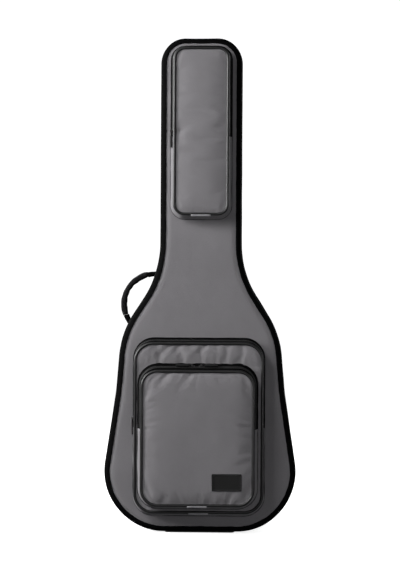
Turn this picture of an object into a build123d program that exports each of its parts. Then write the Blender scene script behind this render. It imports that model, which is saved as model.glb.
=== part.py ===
from build123d import *
import os
from math import acos, atan2, cos, hypot, radians, sin, sqrt

# Padded gig bag for an acoustic guitar: a zipped clamshell of covered foam, with three front
# pockets, a side handle and two shoulder straps.
#
# Frame: millimetres, +Z up, +X to the right of someone facing the front, front towards -Y.
# The origin is the middle of the base, on the face of the rear foot, at half the shell's depth.

# ---- shell outline: right half, bottom to top, as (x, z, corner radius, side the corner bulges) ----
bag_height = 1100.0
foot_thickness = 2.5
bottom_corner_x = 235.0
bottom_corner_radius = 134.0
waist_x = 188.0
waist_z = 312.0
waist_radius = 400.0
shoulder_x = 177.0
shoulder_z = 443.0
shoulder_radius = 200.0
neck_x = 90.7
neck_z = 579.0
neck_radius = 222.0
top_corner_radius = 56.0

# ---- shell layers ----
shell_depth = 155.0
edge_radius = 12.0
cover = 1.5
panel_foam = 14.0
gusset_foam = 10.0
lining = 1.0
panel_seam_inset = 13.0
edge_padding = cover + gusset_foam + lining

# ---- main zip, round the gusset; its centre is a plane of constant Y ----
zip_from_front = 49.5
zip_half_width = 13.0
chain_gap = 1.2
chain_width = 3.0
tape_inset = 0.2
tape_thickness = 0.9
zip_guard_reach = 10.0
zip_groove_depth = 3.0
body_gap = 0.3
spine_margin = 5.0
spine_front_reach = 9.5

# ---- slider and pull, in a local frame: X along the zip, Y across it, Z outwards ----
slider_length = 12.0
slider_front = 1.1
slider_rear = 5.0
slider_plate = 1.6
slider_clearance = 0.4
slider_post = 2.0
lug_thickness = 1.3
pin_radius = 0.8
eye_radius = 2.2
eye_clearance = 0.35
pull_neck_length = 7.5
pull_length = 36.0
pull_width = 8.0
pull_thickness = 2.2

# ---- main sliders, meeting on top of the headstock ----
main_slider_x = 8.0

# ---- pockets ----
pocket_wall = 2.0
pocket_face = 4.0
lower_fold_z = 236.0
head_pocket_side_margin = 22.7
head_pocket_top_margin = 19.0
head_pocket_length = 385.0
head_pocket_fold_up = 183.0
large_pocket_side_margin = 31.0
large_pocket_bottom_z = 39.0
large_pocket_top_z = 434.0
small_pocket_side_margin = 5.5
small_pocket_bottom_margin = 8.0
small_pocket_top_margin = 43.5
large_pocket_off_centre = -2.5
small_pocket_off_centre = -4.5

head_pocket = dict(half=neck_x - head_pocket_side_margin, top=bag_height - head_pocket_top_margin,
                   bottom=bag_height - head_pocket_top_margin - head_pocket_length,
                   radius=32.0, depth=30.0, side_in=12.0, bottom_in=11.0, top_in=9.5, face_radius=22.0, middle=0.0)
head_pocket["fold"] = head_pocket["bottom"] + head_pocket_fold_up

large_pocket = dict(half=min(waist_x, shoulder_x) - large_pocket_side_margin,
                    bottom=large_pocket_bottom_z, top=large_pocket_top_z,
                    radius=46.0, depth=32.0, side_in=8.5, bottom_in=13.0, top_in=11.5,
                    face_radius=40.0, fold=lower_fold_z, middle=large_pocket_off_centre)

small_pocket = dict(half=large_pocket["half"] - large_pocket["side_in"] - small_pocket_side_margin,
                    bottom=large_pocket["bottom"] + large_pocket["bottom_in"] + small_pocket_bottom_margin,
                    top=large_pocket["top"] - large_pocket["top_in"] - small_pocket_top_margin,
                    radius=46.0, depth=28.0, side_in=11.5, bottom_in=11.5, top_in=16.0,
                    face_radius=34.0, fold=lower_fold_z, middle=small_pocket_off_centre)

head_slider_above_fold = 11.0
large_slider_above_fold = 20.0
small_slider_left_x = -12.5
small_slider_right_x = 8.0

patch_width = 65.0
patch_height = 37.5
patch_thickness = 1.6
patch_x = 59.5
patch_z = 122.5
patch_radius = 2.0

# ---- side handle on the left shoulder ----
handle_bottom_z = 463.0
handle_top_z = 576.0
handle_bulge = 40.0
handle_web_thickness = 3.0
handle_web_width = 20.0
handle_web_reach = 52.0
handle_end_thickness = 9.0
handle_end_width = 26.0
grip_thickness = 12.5
grip_width = 30.0
grip_reach = 50.0
handle_patch_thickness = 2.0
handle_patch_width = 34.0
handle_patch_reach = 86.0

# ---- shoulder straps on the back ----
yoke_side_margin = 18.7
yoke_above_neck = 21.0
yoke_height = 60.0
yoke_thickness = 3.0
yoke_corner = 8.0
strap_top_x = 36.0
strap_angle = 11.0
strap_stand_off = 0.5
pad_length = 330.0
pad_width = 60.0
pad_thickness = 12.0
pad_edge = 4.0
pad_end_radius = 18.0
strap_web_width = 25.0
strap_web_thickness = 1.5
ladder_length = 22.0
ladder_side = 4.5
ladder_thickness = 6.0
ladder_from_pad = 10.0
ladder_clearance = 0.4
hook_width = 34.0
hook_thickness = 3.0
hook_head = 14.0
hook_slot = 4.0
hook_lip = 3.0
hook_lip_width = 20.0
hook_clearance = 1.0

# ---- webbing loops on the back ----
loop_thickness = 1.6
loop_tab = 14.0
hang_loop_below_top = 90.0
hang_loop_half = 50.0
hang_loop_bulge = 22.0
hang_loop_width = 25.0
catch_loop_z = 95.0
catch_loop_half = 18.0
catch_loop_bulge = 3.6
catch_loop_width = 24.0

# ---- inside ----
cradle_above_neck = 111.0
cradle_height = 70.0
cradle_thickness = 36.0
cradle_groove_radius = 28.0
cradle_side_gap = 0.5
neck_strap_past_groove = 12.0
neck_strap_width = 30.0
neck_strap_thickness = 2.5
tail_block_half = 65.0
tail_block_height = 30.0
tail_block_past_zip = 2.0
tail_block_edge = 5.0
foot_corner = 8.0
foot_side_margin = 2.0
foot_from_zip = 16.0

far = 2000.0
back_y = shell_depth / 2
front_y = -shell_depth / 2
zip_y = front_y + zip_from_front
rear_cover_y = zip_y + zip_half_width
front_cover_y = zip_y - zip_half_width
guard_y = zip_y - zip_guard_reach
panel_total = cover + panel_foam + lining
inner_back_y = back_y - panel_total
yoke_bottom_z = neck_z + yoke_above_neck


def right_corners():
    """The right half's corners, bottom to top; bulge is 1 outwards and -1 inwards."""
    return [
        (bottom_corner_x, foot_thickness, bottom_corner_radius, 1),
        (waist_x, waist_z, waist_radius, -1),
        (shoulder_x, shoulder_z, shoulder_radius, 1),
        (neck_x, neck_z, neck_radius, -1),
        (neck_x, bag_height, top_corner_radius, 1),
    ]


def outline(inset):
    """The bag's outline as a face in the XZ plane, moved in (or out, if negative) by inset."""
    right = right_corners()
    loop = right + [(-x, z, r, bulge) for x, z, r, bulge in reversed(right)]
    moved, radii = [], []
    for i, (x, z, r, bulge) in enumerate(loop):
        before = Vector(*loop[i - 1][:2])
        here = Vector(x, z)
        after = Vector(*loop[(i + 1) % len(loop)][:2])
        coming = (here - before).normalized()
        going = (after - here).normalized()
        n1 = Vector(-coming.Y, coming.X)
        n2 = Vector(-going.Y, going.X)
        moved.append(here + (n1 + n2) * (inset / (1 + n1.dot(n2))))
        radii.append(r - bulge * inset)
    return Plane.XZ * make_face(FilletPolyline(*moved, radius=radii, close=True))


def slab(face, y_near, y_far):
    """A face of the XZ plane, extruded from y_near, the side towards the front, to y_far."""
    return extrude(Pos(0, y_far, 0) * face, amount=y_far - y_near, dir=(0, -1, 0))


def block(x0, x1, y0, y1, z0, z1):
    """A box given by its limits along each axis."""
    return Pos((x0 + x1) / 2, (y0 + y1) / 2, (z0 + z1) / 2) * Box(x1 - x0, y1 - y0, z1 - z0)


def between_y(y0, y1):
    """Everything between two planes of constant Y."""
    return block(-far, far, y0, y1, -far, far)


def half_width(z):
    """The outline's half width at a height."""
    cut = outline(0) & Plane.XZ * Line((0, z), (far, z))
    return cut.bounding_box().max.X


def rounded_solid(inset, depth_inset, radius):
    """The shell's outer form moved in, with its front and back edges rounded."""
    solid = slab(outline(inset), front_y + depth_inset, back_y - depth_inset)
    if radius <= 0:
        return solid
    edges = solid.faces().sort_by(Axis.Y)[0].edges() + solid.faces().sort_by(Axis.Y)[-1].edges()
    return fillet(edges, radius)


def ring(outer_inset, inner_inset, y0, y1):
    """A band round the outline, between two insets and two planes of constant Y."""
    return slab(outline(outer_inset), y0, y1) - slab(outline(inner_inset), y0 - 1, y1 + 1)


# ---------------------------------------------------------------- shell

def shell_parts():
    """The covers, foams and linings of the two halves, cut from three nested shells."""
    outside = rounded_solid(0, 0, edge_radius)
    under_cover = rounded_solid(cover, cover, edge_radius - cover)
    under_foam = rounded_solid(cover + gusset_foam, cover + panel_foam, 0)
    cavity = rounded_solid(edge_padding, panel_total, 0)
    cover_shell = outside - under_cover
    foam_shell = under_cover - under_foam
    foam_shell -= ring(cover, cover + zip_groove_depth, zip_y - zip_half_width, zip_y + zip_half_width)
    lining_shell = under_foam - cavity

    panel = slab(outline(panel_seam_inset), -far, far)
    foam_face_y = back_y - cover - panel_foam
    return {
        "back_cover": cover_shell & panel & between_y(rear_cover_y, far),
        "rear_gusset_cover": (cover_shell - panel) & between_y(rear_cover_y, far),
        "back_foam": foam_shell & between_y(foam_face_y, far),
        "rear_gusset_foam": foam_shell & between_y(guard_y, foam_face_y),
        "back_lining": lining_shell & between_y(guard_y, far),
        "front_cover": cover_shell & panel & between_y(-far, front_cover_y),
        "front_gusset_cover": (cover_shell - panel) & between_y(-far, front_cover_y),
        "front_foam": foam_shell & between_y(-far, -foam_face_y),
        "front_gusset_foam": foam_shell & between_y(-foam_face_y, guard_y - body_gap),
        "front_lining": lining_shell & between_y(-far, guard_y - body_gap),
    }


def zip_parts():
    """Each half of the main zip, tape and chain, which stops at the fabric spine on the left."""
    inner = tape_inset + tape_thickness
    touch_low, touch_high = hinge_touch_points()
    spine_bottom_z = touch_low.Y + spine_margin
    spine_top_z = touch_high.Y - spine_margin
    spine_zone = block(-far, 0, -far, far, spine_bottom_z, spine_top_z)
    rear_chain = ring(0, inner, zip_y + chain_gap, zip_y + chain_gap + chain_width)
    rear_tape = ring(tape_inset, inner, zip_y + chain_gap + chain_width, zip_y + zip_half_width)
    front_chain = ring(0, inner, zip_y - chain_gap - chain_width, zip_y - chain_gap)
    front_tape = ring(tape_inset, inner, zip_y - zip_half_width, zip_y - chain_gap - chain_width)
    wider_zone = block(-far, 0, -far, far, spine_bottom_z - body_gap, spine_top_z + body_gap)
    spine = ring(tape_inset, inner, zip_y - spine_front_reach, rear_cover_y)
    return {
        "rear_zip_tape": (rear_chain + rear_tape) - spine_zone,
        "front_zip_tape": (front_chain + front_tape) - wider_zone,
        "spine_hinge": spine & spine_zone,
    }


def feet():
    """Two rubber feet under the base, one on each half."""
    flat_edge = outline(0).edges().sort_by(Axis.Z)[0]
    half = flat_edge.length / 2 - foot_side_margin

    def foot(y0, y1):
        plate = block(-half, half, y0, y1, 0, foot_thickness)
        return fillet(plate.edges().filter_by(Axis.Z), foot_corner)

    return {
        "rear_foot": foot(zip_y + foot_from_zip, back_y - edge_radius),
        "front_foot": foot(front_y + edge_radius, zip_y - foot_from_zip),
    }


# ---------------------------------------------------------------- inside

def inside_parts():
    """The neck cradle with its strap, and the block that takes the weight at the tail."""
    cradle_z = neck_z + cradle_above_neck
    half = half_width(cradle_z) - edge_padding - cradle_side_gap
    cradle_front = inner_back_y - cradle_thickness
    middle = cradle_z + cradle_height / 2
    cradle = block(-half, half, cradle_front, inner_back_y, cradle_z, cradle_z + cradle_height)
    groove = Pos(0, cradle_front, middle) * Cylinder(cradle_groove_radius, cradle_height + 2)

    strap_half = cradle_groove_radius + neck_strap_past_groove
    strap_back = cradle_front - body_gap
    strap = block(-strap_half, strap_half, strap_back - neck_strap_thickness, strap_back,
                  middle - neck_strap_width / 2, middle + neck_strap_width / 2)

    floor_z = foot_thickness + edge_padding
    tail = block(-tail_block_half, tail_block_half, zip_y - tail_block_past_zip, inner_back_y,
                 floor_z, floor_z + tail_block_height)
    tail = fillet(tail.edges().group_by(Axis.Z)[-1], tail_block_edge)
    return {"neck_cradle": cradle - groove, "neck_strap": strap, "tail_block": tail}


# ---------------------------------------------------------------- pockets

def rounded_face(middle_x, half, bottom, top, radius):
    """An upright rectangle with round corners, in the XZ plane."""
    return Plane.XZ * (Pos(middle_x, (bottom + top) / 2) * RectangleRounded(2 * half, top - bottom, radius))


def tapered(p, base_y, wall, face_wall):
    """A pocket's form, narrower at its face than at its base, moved in by a wall."""
    base = rounded_face(p["middle"], p["half"] - wall, p["bottom"] + wall, p["top"] - wall, p["radius"] - wall)
    face = rounded_face(p["middle"], p["half"] - p["side_in"] - wall, p["bottom"] + p["bottom_in"] + wall,
                        p["top"] - p["top_in"] - wall, p["face_radius"] - wall)
    face_y = base_y - p["depth"]
    full = loft([Pos(0, base_y, 0) * base, Pos(0, face_y, 0) * face], ruled=True)
    return full & between_y(face_y + face_wall, base_y)


def slit_half(p):
    """Half the slit in a pocket's zip: it clears the slider's post, which leans with the wall."""
    lean = atan2(max(p["top_in"], p["side_in"]), p["depth"])
    reach = (pocket_wall + slider_clearance) * sin(lean) + slider_post / 2 * cos(lean)
    return reach + slider_clearance


def pocket_parts(name, p, base_y):
    """A zipped pocket: the gusset and lower face stay, the upper face opens with its half of the zip."""
    face_y = base_y - p["depth"]
    zip_plane = base_y - p["depth"] / 2
    slit = slit_half(p)
    walls = tapered(p, base_y, 0, pocket_face) - tapered(p, base_y, pocket_wall, pocket_face)
    face = tapered(p, base_y, 0, 0) & between_y(face_y, face_y + pocket_face)
    below = block(-far, far, -far, far, -far, p["fold"])
    above = block(-far, far, -far, far, p["fold"], far)
    clear_above = block(-far, far, -far, far, p["fold"] + body_gap, far)
    behind = between_y(zip_plane + slit, far)
    ahead = between_y(-far, zip_plane - slit)
    return {
        f"{name}_gusset": walls & below,
        f"{name}_lower_face": face & below,
        f"{name}_zip_rear": walls & above & behind,
        f"{name}_zip_front": walls & clear_above & ahead,
        f"{name}_upper_face": face & clear_above,
    }


def name_patch(face_y):
    """A blank patch on the small pocket."""
    patch = block(patch_x - patch_width / 2, patch_x + patch_width / 2, face_y - patch_thickness, face_y,
                  patch_z - patch_height / 2, patch_z + patch_height / 2)
    return fillet(patch.edges().filter_by(Axis.Y), patch_radius)


# ---------------------------------------------------------------- sliders

def slider_and_pull(at, along, outwards, wall):
    """A slider on its zip and its pull, which lies back along the zip from the pin.

    The slider's longer side is towards the back, over the half of the zip that it stays with.
    """
    plane = Plane(origin=at, x_dir=along, z_dir=outwards)
    near, rear = slider_front, slider_rear
    if plane.y_dir.Y < 0:
        near, rear = slider_rear, slider_front
    half = slider_length / 2
    plate_top = slider_clearance + slider_plate
    pin_z = plate_top + eye_radius + eye_clearance
    middle = (rear - near) / 2

    top = block(-half, half, -near, rear, slider_clearance, plate_top)
    under = block(-half, half, -near, rear, -wall - slider_clearance - slider_plate, -wall - slider_clearance)
    post = block(half - slider_post, half, -slider_post / 2, slider_post / 2,
                 -wall - slider_clearance, slider_clearance)
    body = top + under + post
    for side in (-near, rear - lug_thickness):
        lug = block(-eye_radius, eye_radius, side, side + lug_thickness, plate_top, pin_z)
        knuckle = Pos(0, side + lug_thickness / 2, pin_z) * Rot(90, 0, 0) * Cylinder(eye_radius, lug_thickness)
        body += lug + knuckle
    body += Pos(0, middle, pin_z) * Rot(90, 0, 0) * Cylinder(pin_radius, near + rear)

    eye_width = near + rear - 2 * lug_thickness - 2 * eye_clearance
    eye = Rot(90, 0, 0) * Cylinder(eye_radius, eye_width)
    neck = block(-pull_neck_length, 0, -eye_width / 2, eye_width / 2, -pull_thickness / 2, pull_thickness / 2)
    tab = block(-pull_length, -pull_neck_length, -pull_width / 2, pull_width / 2,
                -pull_thickness / 2, pull_thickness / 2)
    tab = fillet(tab.edges().filter_by(Axis.Z), pull_width / 4)
    pull = eye + neck + tab - Rot(90, 0, 0) * Cylinder(pin_radius + eye_clearance, eye_width + 1)
    return plane * body, plane * Pos(0, middle, pin_z) * pull


def side_normal(p):
    """The outward direction of a pocket's left wall, which slopes in towards the face."""
    length = hypot(p["depth"], p["side_in"])
    return Vector(-p["depth"] / length, -p["side_in"] / length, 0)


def top_normal(p):
    """The outward direction of a pocket's top wall."""
    length = hypot(p["depth"], p["top_in"])
    return Vector(0, -p["top_in"] / length, p["depth"] / length)


def slider_parts():
    """Every slider and pull: two on the main zip, one on two of the pockets, two on the small one."""
    made = {}

    def add(name, at, along, outwards, wall):
        made[f"{name}_slider"], made[f"{name}_pull"] = slider_and_pull(at, along, outwards, wall)

    up = Vector(0, 0, 1)
    right = Vector(1, 0, 0)
    main_wall = tape_inset + tape_thickness
    add("main_left", (-main_slider_x, zip_y, bag_height), right, up, main_wall)
    add("main_right", (main_slider_x, zip_y, bag_height), -right, up, main_wall)

    for name, p, rise in (("head", head_pocket, head_slider_above_fold),
                          ("large", large_pocket, large_slider_above_fold)):
        at = (p["middle"] - p["half"] + p["side_in"] / 2, front_y - p["depth"] / 2, p["fold"] + rise)
        add(name, at, up, side_normal(p), pocket_wall)

    p = small_pocket
    z = p["top"] - p["top_in"] / 2
    y = front_y - large_pocket["depth"] - p["depth"] / 2
    add("small_left", (p["middle"] + small_slider_left_x, y, z), right, top_normal(p), pocket_wall)
    add("small_right", (p["middle"] + small_slider_right_x, y, z), -right, top_normal(p), pocket_wall)
    return made


# ---------------------------------------------------------------- side handle

def arch(plane, half_chord, bulge, thickness, width, reach_from, reach_to):
    """Part of a webbing arch over a chord: between two distances along it, on both sides of its middle."""
    radius = (half_chord**2 + bulge**2) / (2 * bulge)
    centre = Pos(0, bulge - radius)
    band = Circle(radius + thickness / 2) - Circle(radius - thickness / 2)
    above = Pos(0, far / 2) * Rectangle(2 * far, far)
    face = (centre * band) & above & Rectangle(2 * reach_to, 2 * far)
    if reach_from > 0:
        face -= Rectangle(2 * reach_from, 2 * far)
    return plane * extrude(face, amount=width / 2, both=True)


def handle_parts():
    """The side handle: a webbing arch in a padded grip, and its sewn anchors on the shoulder."""
    middle_y = (rear_cover_y + back_y - edge_radius) / 2
    low = Vector(-half_width(handle_bottom_z), middle_y, handle_bottom_z)
    high = Vector(-half_width(handle_top_z), middle_y, handle_top_z)
    half_chord = (high - low).length / 2
    plane = Plane(origin=(low + high) * 0.5, x_dir=(high - low).normalized(), z_dir=(0, -1, 0))
    shape = (plane, half_chord, handle_bulge)
    web = arch(*shape, handle_web_thickness, handle_web_width, 0, handle_web_reach)
    grip = arch(*shape, grip_thickness, grip_width, 0, grip_reach)
    grip = fillet(grip.edges().filter_by(GeomType.CIRCLE), grip_thickness / 4)
    ends_from = handle_web_reach + body_gap
    ends = arch(*shape, handle_end_thickness, handle_end_width, ends_from, far)
    ends -= slab(outline(-handle_patch_thickness), -far, far)
    zone = Rectangle(2 * handle_patch_reach, handle_patch_reach) - Rectangle(2 * ends_from, handle_patch_reach)
    zone = plane * extrude(zone, amount=handle_patch_width / 2, both=True)
    patches = ring(-handle_patch_thickness, 0, rear_cover_y, back_y - edge_radius) & zone
    return {"handle_webbing": web, "handle_grip": grip - web, "handle_anchors": ends + patches}


# ---------------------------------------------------------------- shoulder straps and loops

def strap_frame(side):
    """A strap's own frame on the surface of the back: X down the strap, Y across it, Z away."""
    angle = radians(strap_angle)
    return Plane(origin=(side * strap_top_x, back_y, yoke_bottom_z),
                 x_dir=(side * sin(angle), 0, -cos(angle)), z_dir=(0, 1, 0))


def strap_hook(web_z, at):
    """A flat hook over the catch loop: a slot for the webbing, and a lip under the loop's lower edge."""
    loop_half = catch_loop_width / 2 + hook_clearance
    start = at - loop_half - hook_head
    end = at + loop_half + hook_lip
    low_z = web_z - hook_thickness / 2
    plate = block(start, end, -hook_width / 2, hook_width / 2, low_z, low_z + hook_thickness)
    plate = fillet(plate.edges().filter_by(Axis.Z), hook_width / 6)
    slot = block(start + hook_slot, start + 2 * hook_slot, -strap_web_width / 2, strap_web_width / 2,
                 low_z - 1, low_z + hook_thickness + 1)
    lip = block(end - hook_lip, end, -hook_lip_width / 2, hook_lip_width / 2, strap_stand_off, low_z)
    return plate - slot + lip, start


def strap_parts(side, word):
    """One shoulder strap: pad, webbing, ladder lock and hook."""
    frame = strap_frame(side)
    pad = block(0, pad_length, -pad_width / 2, pad_width / 2, strap_stand_off, strap_stand_off + pad_thickness)
    pad = fillet(pad.edges().filter_by(Axis.Z).group_by(Axis.X)[-1], pad_end_radius)
    pad = fillet(pad.faces().sort_by(Axis.Z)[-1].edges(), pad_edge)
    trim = block(-far, far, -far, far, -far, yoke_bottom_z - body_gap)

    web_z = strap_stand_off + pad_thickness / 2
    loop_at = (yoke_bottom_z - catch_loop_z) / cos(radians(strap_angle))
    hook, web_end = strap_hook(web_z, loop_at)
    web = block(pad_length, web_end, -strap_web_width / 2, strap_web_width / 2,
                web_z - strap_web_thickness / 2, web_z + strap_web_thickness / 2)

    start = pad_length + ladder_from_pad
    end = start + ladder_length
    half = strap_web_width / 2
    ladder = block(start, end, -half - ladder_side, half + ladder_side,
                   web_z - ladder_thickness / 2, web_z + ladder_thickness / 2)
    ladder = fillet(ladder.edges().filter_by(Axis.Z), ladder_side / 2)
    tunnel_half = strap_web_thickness / 2 + ladder_clearance
    tunnel = block(start - 1, end + 1, -half - ladder_clearance, half + ladder_clearance,
                   web_z - tunnel_half, web_z + tunnel_half)
    window = block(start + ladder_side, end - ladder_side, -half, half, web_z, web_z + ladder_thickness)

    loop_plane = Plane(origin=frame.origin + frame.x_dir * loop_at, x_dir=frame.y_dir, z_dir=frame.x_dir)
    catch = webbing_loop(loop_plane, catch_loop_half, catch_loop_bulge, catch_loop_width)
    return {
        f"strap_pad_{word}": (frame * pad) & trim,
        f"strap_webbing_{word}": frame * web,
        f"strap_hook_{word}": frame * hook,
        f"ladder_lock_{word}": frame * (ladder - tunnel - window),
    }, catch


def webbing_loop(plane, half, bulge, width):
    """A webbing arch with a tab at each end that is sewn flat to the back."""
    loop = arch(plane, half, bulge, loop_thickness, width, 0, half + loop_tab)
    for side in (-1, 1):
        tab = Pos(side * (half + loop_tab / 2), loop_thickness / 2) * Rectangle(loop_tab, loop_thickness)
        loop += plane * extrude(tab, amount=width / 2, both=True)
    return loop


def back_parts():
    """Both straps, the yoke that they hang from, and the hanging loop and catch loops as one group."""
    left, left_catch = strap_parts(-1, "left")
    right, right_catch = strap_parts(1, "right")
    hang_plane = Plane(origin=(0, back_y, bag_height - hang_loop_below_top), x_dir=(0, 0, 1), z_dir=(-1, 0, 0))
    hang_loop = webbing_loop(hang_plane, hang_loop_half, hang_loop_bulge, hang_loop_width)
    half = neck_x - yoke_side_margin
    yoke = block(-half, half, back_y, back_y + yoke_thickness, yoke_bottom_z, yoke_bottom_z + yoke_height)
    yoke = fillet(yoke.edges().filter_by(Axis.Y), yoke_corner)
    loops = Compound([hang_loop, left_catch, right_catch])
    return {**left, **right, "webbing_loops": loops, "strap_yoke": yoke}


# ---------------------------------------------------------------- the lid's fold

def hinge_touch_points():
    """Where the straight fold line touches the flank's two outward bends, on the right half."""
    corners = [Vector(x, z) for x, z, radius, bulge in right_corners()]
    corners.insert(0, Vector(0, foot_thickness))

    def bend_centre(i, radius):
        before = (corners[i - 1] - corners[i]).normalized()
        after = (corners[i + 1] - corners[i]).normalized()
        reach = radius / sqrt((1 - before.dot(after)) / 2)
        return corners[i] + (before + after).normalized() * reach

    low = bend_centre(1, bottom_corner_radius)
    high = bend_centre(3, shoulder_radius)
    apart = high - low
    turn = atan2(apart.Y, apart.X) - acos((bottom_corner_radius - shoulder_radius) / apart.length)
    normal = Vector(cos(turn), sin(turn))
    return low + normal * bottom_corner_radius, high + normal * shoulder_radius


def main():
    """Builds every piece, writes one STEP file for each, and prints the lid's fold line."""
    os.makedirs("parts", exist_ok=True)
    large_face_y = front_y - large_pocket["depth"]
    pieces = {}
    pieces.update(shell_parts())
    pieces.update(zip_parts())
    pieces.update(feet())
    pieces.update(inside_parts())
    pieces.update(pocket_parts("head_pocket", head_pocket, front_y))
    pieces.update(pocket_parts("large_pocket", large_pocket, front_y))
    pieces.update(pocket_parts("small_pocket", small_pocket, large_face_y))
    pieces["name_patch"] = name_patch(large_face_y - small_pocket["depth"])
    pieces.update(slider_parts())
    pieces.update(handle_parts())
    pieces.update(back_parts())
    for name, piece in pieces.items():
        export_step(piece, f"parts/{name}.step")
    low, high = hinge_touch_points()
    print(f"{len(pieces)} pieces; fold line from ({low.X:.2f}, {low.Y:.2f}) to ({high.X:.2f}, {high.Y:.2f})")


main()
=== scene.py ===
import math

import bpy
import bmesh
import numpy as np
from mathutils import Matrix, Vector, noise
from mathutils.bvhtree import BVHTree
from mathutils.kdtree import KDTree


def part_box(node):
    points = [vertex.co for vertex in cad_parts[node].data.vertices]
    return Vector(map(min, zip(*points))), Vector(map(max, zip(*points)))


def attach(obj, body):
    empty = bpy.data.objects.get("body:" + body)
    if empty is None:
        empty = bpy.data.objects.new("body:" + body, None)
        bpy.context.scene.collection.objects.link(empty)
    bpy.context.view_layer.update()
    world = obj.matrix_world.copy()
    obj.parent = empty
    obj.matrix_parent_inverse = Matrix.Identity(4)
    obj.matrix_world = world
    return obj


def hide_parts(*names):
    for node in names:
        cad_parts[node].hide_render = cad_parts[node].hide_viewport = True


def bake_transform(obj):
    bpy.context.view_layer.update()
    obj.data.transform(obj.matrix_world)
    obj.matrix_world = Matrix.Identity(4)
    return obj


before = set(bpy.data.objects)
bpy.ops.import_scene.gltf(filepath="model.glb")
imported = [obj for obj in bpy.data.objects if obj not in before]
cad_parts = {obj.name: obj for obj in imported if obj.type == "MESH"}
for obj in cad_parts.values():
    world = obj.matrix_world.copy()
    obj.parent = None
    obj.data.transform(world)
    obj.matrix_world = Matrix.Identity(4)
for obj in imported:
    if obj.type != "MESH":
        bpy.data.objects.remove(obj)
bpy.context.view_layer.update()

# ==== front edge of the bag =====================================================================
# The lid's side wall: black polyester wrapped over foam. It is sewn to the front panel in a seam
# set in from the edge, rolls over that edge and ends at the zip tape.

front_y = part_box("front_cover")[0].y
lid_end_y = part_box("front_gusset_cover")[1].y
base_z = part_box("front_gusset_cover")[0].z
top_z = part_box("front_gusset_cover")[1].z
bag_corners = [(.235, base_z, .134), (.188, .312, .4), (.177, .443, .2), (.0907, .579, .222),
               (.0907, top_z, .056)]
roll = .012
seam_in = .0132


def right_edge(step):
    """x, z and heading along the outline, from the middle of the base up the right to the top."""
    places = [Vector((0, base_z))] + [Vector(c[:2]) for c in bag_corners] + [Vector((0, top_z))]
    fine, at = [], places[0]
    for before, here, after, corner in zip(places, places[1:], places[2:], bag_corners):
        into, out_of = (here - before).normalized(), (after - here).normalized()
        heading = math.atan2(into.y, into.x)
        swing = math.atan2(out_of.y, out_of.x) - heading
        side, radius = math.copysign(1, swing), corner[2]
        begin = here - into * radius * math.tan(abs(swing) / 2)
        parts = int((begin - at).length / .001) + 1
        fine += [(*at.lerp(begin, k / parts), heading) for k in range(parts)]
        centre = begin + Vector((-into.y, into.x)) * side * radius
        parts = int(abs(swing) * radius / .001) + 1
        for k in range(parts):
            h = heading + swing * k / parts
            fine.append((*(centre + Vector((math.sin(h), -math.cos(h))) * side * radius), h))
        at = here + out_of * radius * math.tan(abs(swing) / 2)
    parts = int((places[-1] - at).length / .001) + 1
    fine += [(*at.lerp(places[-1], k / parts), math.pi) for k in range(parts + 1)]
    fine = np.array(fine)
    run = np.concatenate([[0], np.cumsum(np.hypot(*np.diff(fine[:, :2], axis=0).T))])
    stops = np.linspace(0, run[-1], round(run[-1] / step) + 1)
    return [np.interp(stops, run, fine[:, k]) for k in range(3)]


def whole_edge(step):
    """Points round the outline with the direction inwards at each, both as (x, z)."""
    x, z, heading = right_edge(step)
    here, inwards = np.stack([x, z], 1), np.stack([-np.sin(heading), np.cos(heading)], 1)
    mirror = np.array([-1, 1])
    return (np.concatenate([here, here[-2:0:-1] * mirror]),
            np.concatenate([inwards, inwards[-2:0:-1] * mirror]))


def stitched_up(name, points, faces, cut):
    """A mesh piece with its cut measured in metres in the UV map."""
    mesh = bpy.data.meshes.new(name)
    mesh.from_pydata([tuple(map(float, p)) for p in points], [], faces)
    flat = mesh.uv_layers.new(name="cut")
    flat.data.foreach_set("uv", np.array(cut, np.float32).ravel())
    work = bmesh.new()
    work.from_mesh(mesh)
    bmesh.ops.recalc_face_normals(work, faces=work.faces)
    work.to_mesh(mesh)
    work.free()
    mesh.polygons.foreach_set("use_smooth", [len(p.vertices) < 5 for p in mesh.polygons])
    piece = bpy.data.objects.new(name, mesh)
    bpy.context.scene.collection.objects.link(piece)
    return piece


def skin(name, rows, joined=True, tube=True):
    """A skin over rows of points. joined closes the last row to the first, tube closes each row."""
    rows = np.array(rows, float)
    n, m = rows.shape[:2]
    steps = np.linalg.norm(np.diff(rows, axis=0, append=rows[:1]), axis=2).mean(1)
    run = np.concatenate([[0], np.cumsum(steps)])
    middle = rows[n // 2]
    steps = np.linalg.norm(np.diff(middle, axis=0, append=middle[:1]), axis=1)
    turn = np.concatenate([[0], np.cumsum(steps)])
    faces, cut = [], []
    for i in range(n if joined else n - 1):
        for j in range(m if tube else m - 1):
            faces.append((i * m + j, i * m + (j + 1) % m, (i + 1) % n * m + (j + 1) % m, (i + 1) % n * m + j))
            cut += [(run[i], turn[j]), (run[i], turn[j + 1]), (run[i + 1], turn[j + 1]),
                    (run[i + 1], turn[j])]
    if tube and not joined:
        for row in (0, n - 1):
            faces.append(tuple(row * m + j for j in range(m)))
            cut += [(run[row], turn[j]) for j in range(m)]
    return stitched_up(name, rows.reshape(-1, 3), faces, cut)


def edge_rows(section, step=.005, gap=None):
    """The section, as (inset, y) points, round the outline. gap is a range of z left open on the left."""
    here, inwards = whole_edge(step)
    rows = np.empty((len(here), len(section), 3))
    for j, (inset, y) in enumerate(section):
        rows[:, j, 0] = here[:, 0] + inwards[:, 0] * inset
        rows[:, j, 1] = y
        rows[:, j, 2] = here[:, 1] + inwards[:, 1] * inset
    if gap:
        inside = np.nonzero((here[:, 0] < 0) & (here[:, 1] > gap[0]) & (here[:, 1] < gap[1]))[0]
        rows = np.concatenate([rows[inside[-1] + 1:], rows[:inside[0]]])
    return rows


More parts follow.
